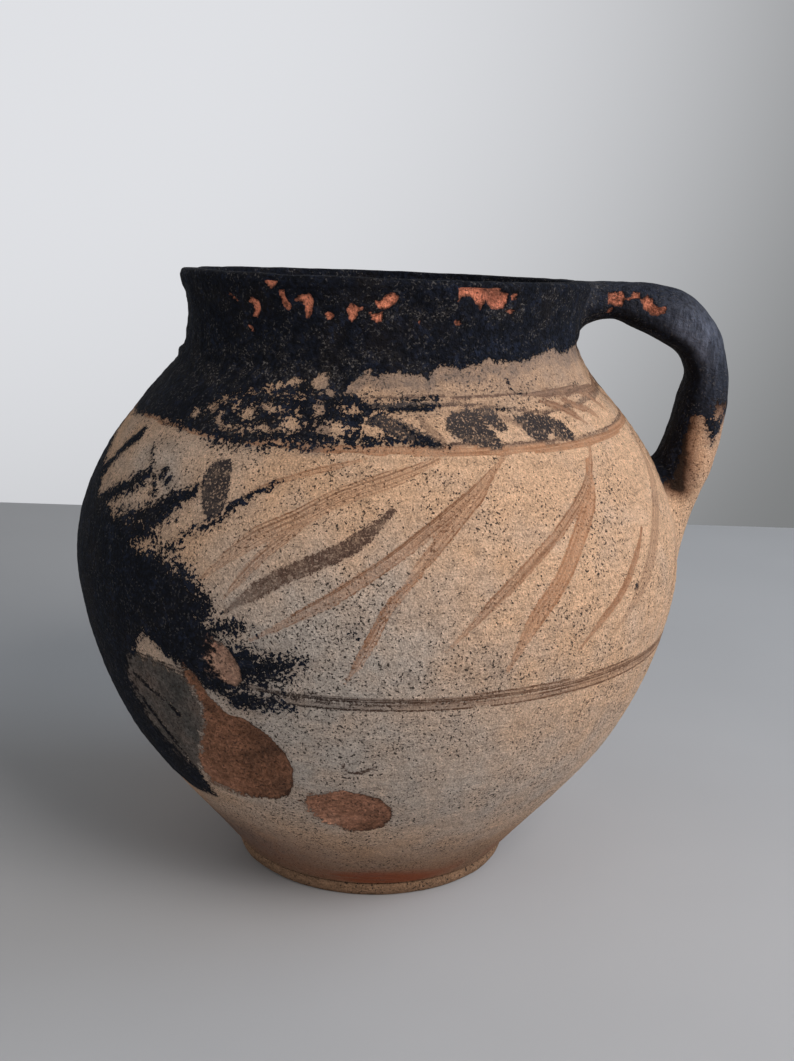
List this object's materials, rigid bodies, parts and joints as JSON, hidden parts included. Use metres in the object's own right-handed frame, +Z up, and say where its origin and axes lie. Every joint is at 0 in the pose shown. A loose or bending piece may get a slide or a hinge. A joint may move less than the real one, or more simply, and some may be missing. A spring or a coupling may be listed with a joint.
{
  "type": "one-handled clay cooking pot",
  "caption": "Round-bellied clay pot with a narrow foot, an upright neck collar and a strap handle from rim to shoulder.",
  "frame": {"origin": "centre of the foot's flat underside, on the surface that the pot stands on", "axes": "+Z up through the mouth, +X towards the handle, -Y towards the side that the picture shows"},
  "size_m": [0.2565, 0.24, 0.2436],
  "materials": {
    "foot_clay": "matt, bare terracotta",
    "belly_clay": "matt, dry cream-buff slip over terracotta",
    "shoulder_clay": "matt, dry cream-buff slip with brown painting",
    "collar_soot": "dull crusted soot",
    "strap_clay": "matt clay, mostly sooted",
    "rim_luting_clay": "dull crusted soot",
    "shoulder_luting_clay": "matt clay, partly sooted"
  },
  "bodies": {
    "root": {"base_disc": "foot_clay", "lower_wall": "belly_clay", "shoulder_wall": "shoulder_clay", "neck_collar": "collar_soot", "strap_handle": "strap_clay", "rim_luting": "rim_luting_clay", "shoulder_luting": "shoulder_luting_clay"}
  },
  "joints": []
}
